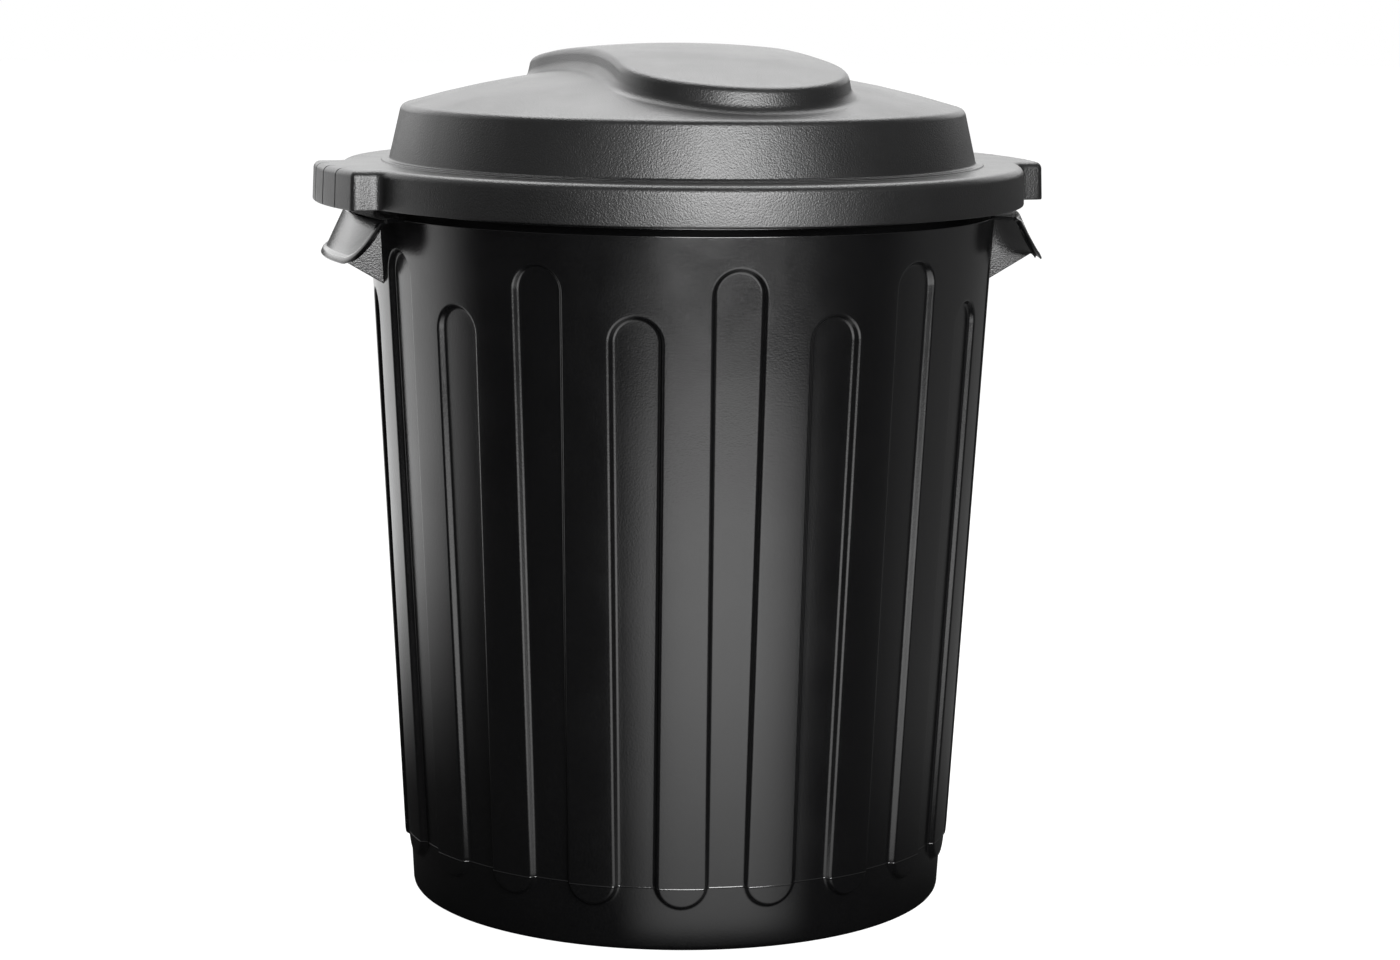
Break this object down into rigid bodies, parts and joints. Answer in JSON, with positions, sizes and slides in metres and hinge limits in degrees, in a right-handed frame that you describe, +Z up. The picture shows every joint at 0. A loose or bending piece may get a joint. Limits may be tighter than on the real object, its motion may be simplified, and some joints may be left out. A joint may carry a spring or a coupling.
{
  "type": "trash can",
  "caption": "Round tapered trash can with a fluted wall, moulded carrying handles and a loose domed lid with a waisted grip and lifting ears",
  "frame": {"origin": "on the floor under the centre of the base", "axes": "+Z up, the carrying handles lie along +X and -X"},
  "size_m": [0.516, 0.478, 0.5985],
  "materials": {
    "bin_plastic": "black, fine moulded grain with a satin sheen",
    "lid_plastic": "black, fine moulded grain with a satin sheen"
  },
  "bodies": {
    "bin": {"bin_body": "bin_plastic"},
    "lid": {"lid": "lid_plastic"}
  },
  "joints": [
    {"name": "lid_lift", "type": "slide", "parent": "bin", "child": "lid", "axis": [0, 0, 1], "range_m": [0, 0.45]}
  ]
}
